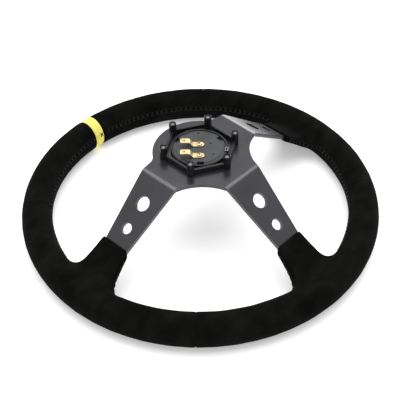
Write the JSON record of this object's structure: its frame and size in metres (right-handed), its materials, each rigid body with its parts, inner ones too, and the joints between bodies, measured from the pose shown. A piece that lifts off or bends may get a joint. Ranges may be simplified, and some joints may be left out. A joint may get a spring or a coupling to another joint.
{
  "type": "steering wheel",
  "caption": "Dished motorsport steering wheel: suede grip with a yellow centre band, drilled spoke plate, hub screw ring and a horn button that presses in.",
  "frame": {"origin": "on the steering axis, level with the lowest line of the rim as the wheel lies face down", "axes": "+Z is the steering axis and points to the column side, +Y is twelve o'clock, +X and -X run down the side spokes"},
  "size_m": [0.35, 0.35, 0.0987],
  "materials": {
    "suede": "matt suede nap, near black",
    "band": "matt suede nap, yellow",
    "foam": "moulded foam",
    "anodised_plate": "satin dark grey anodising",
    "black_steel": "black oxide, half gloss",
    "bright_steel": "zinc plated",
    "black_plastic": "moulded, half gloss",
    "grey_plastic": "moulded, fine grain",
    "brass": "stamped, pale",
    "print": "glossy badge disc with a plain horn sign"
  },
  "bodies": {
    "wheel": {"spoke_plate": "anodised_plate", "rim_hoop": "black_steel", "grip_foam": "foam", "centre_band": "band", "suede_top_left": "suede", "suede_left": "suede", "suede_bottom": "suede", "suede_right": "suede", "suede_top_right": "suede", "spoke_rivet_1": "bright_steel", "spoke_rivet_2": "bright_steel", "spoke_rivet_3": "bright_steel", "spoke_rivet_4": "bright_steel", "spoke_rivet_5": "bright_steel", "spoke_rivet_6": "bright_steel", "boss_ring": "black_plastic", "trim_ring": "black_steel", "wheel_screw_1": "black_steel", "wheel_screw_2": "black_steel", "wheel_screw_3": "black_steel", "wheel_screw_4": "black_steel", "wheel_screw_5": "black_steel", "wheel_screw_6": "black_steel", "horn_housing": "black_plastic", "horn_base": "grey_plastic", "horn_bezel": "black_plastic", "horn_spring": "bright_steel", "blade_terminal_1": "brass", "blade_terminal_2": "brass", "contact_post_1": "brass", "contact_post_2": "brass", "edge_clip": "bright_steel"},
    "horn_button": {"horn_cap": "black_plastic", "cap_insert": "print", "contact_disc": "brass"}
  },
  "joints": [
    {"name": "horn_press", "type": "slide", "parent": "wheel", "child": "horn_button", "axis": [0, 0, 1], "range_m": [0, 0.002], "stiffness_N_per_m": 1500, "springref_m": -0.002, "deforming": ["horn_spring"]}
  ]
}
